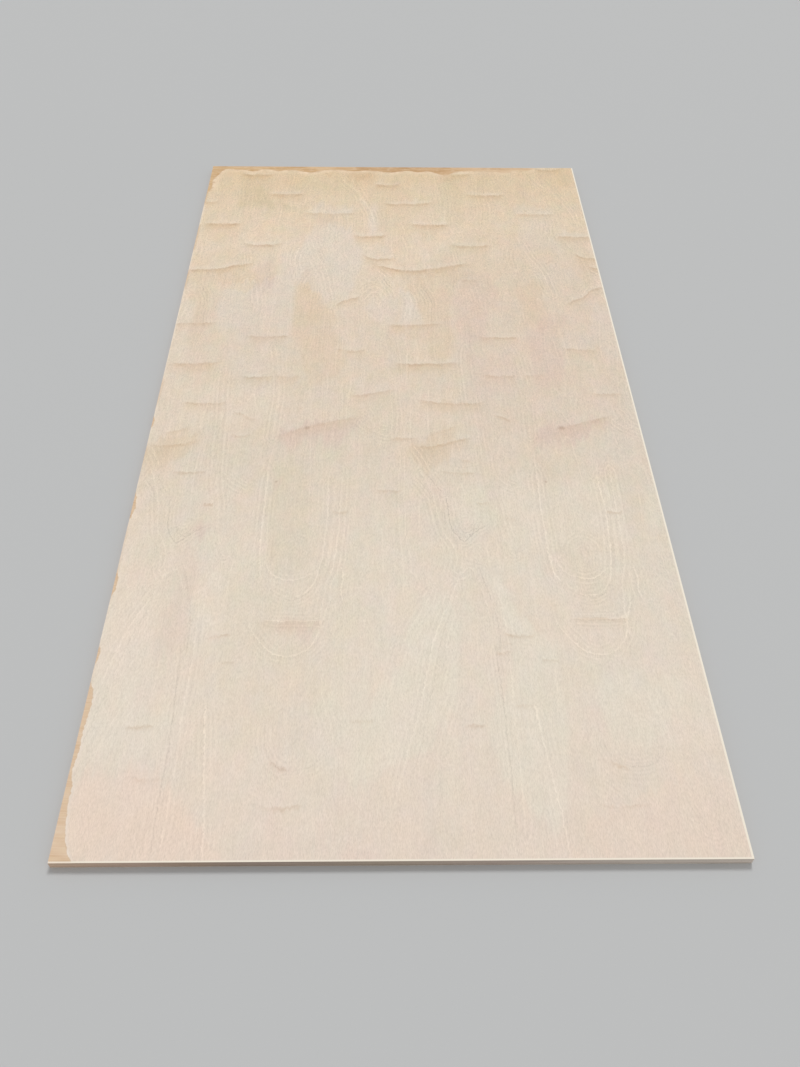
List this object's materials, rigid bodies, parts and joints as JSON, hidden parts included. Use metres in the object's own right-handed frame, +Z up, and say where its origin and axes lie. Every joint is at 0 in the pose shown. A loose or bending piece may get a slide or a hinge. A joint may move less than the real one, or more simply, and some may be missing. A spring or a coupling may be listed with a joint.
{
  "type": "plywood sheet",
  "caption": "Flat birch-faced plywood sheet with cross-laminated core veneers, its face veneer sanded through along one end and part of one side.",
  "frame": {"origin": "centre of the underside, where the sheet rests on a level floor", "axes": "+Z up out of the good face, +Y along the length and the grain of the face, +X across the width"},
  "size_m": [1.22, 2.44, 0.018],
  "materials": {
    "outer_birch": "sanded, unfinished",
    "core_across": "sawn edge, sanded where bare",
    "core_along": "sawn edge"
  },
  "bodies": {
    "root": {"back_veneer": "outer_birch", "core_veneer_01_across": "core_across", "core_veneer_02_along": "core_along", "core_veneer_03_across": "core_across", "core_veneer_04_along": "core_along", "core_veneer_05_across": "core_across", "core_veneer_06_along": "core_along", "core_veneer_07_across": "core_across", "core_veneer_08_along": "core_along", "core_veneer_09_across": "core_across", "core_veneer_10_along": "core_along", "core_veneer_11_across": "core_across", "face_veneer": "outer_birch"}
  },
  "joints": []
}
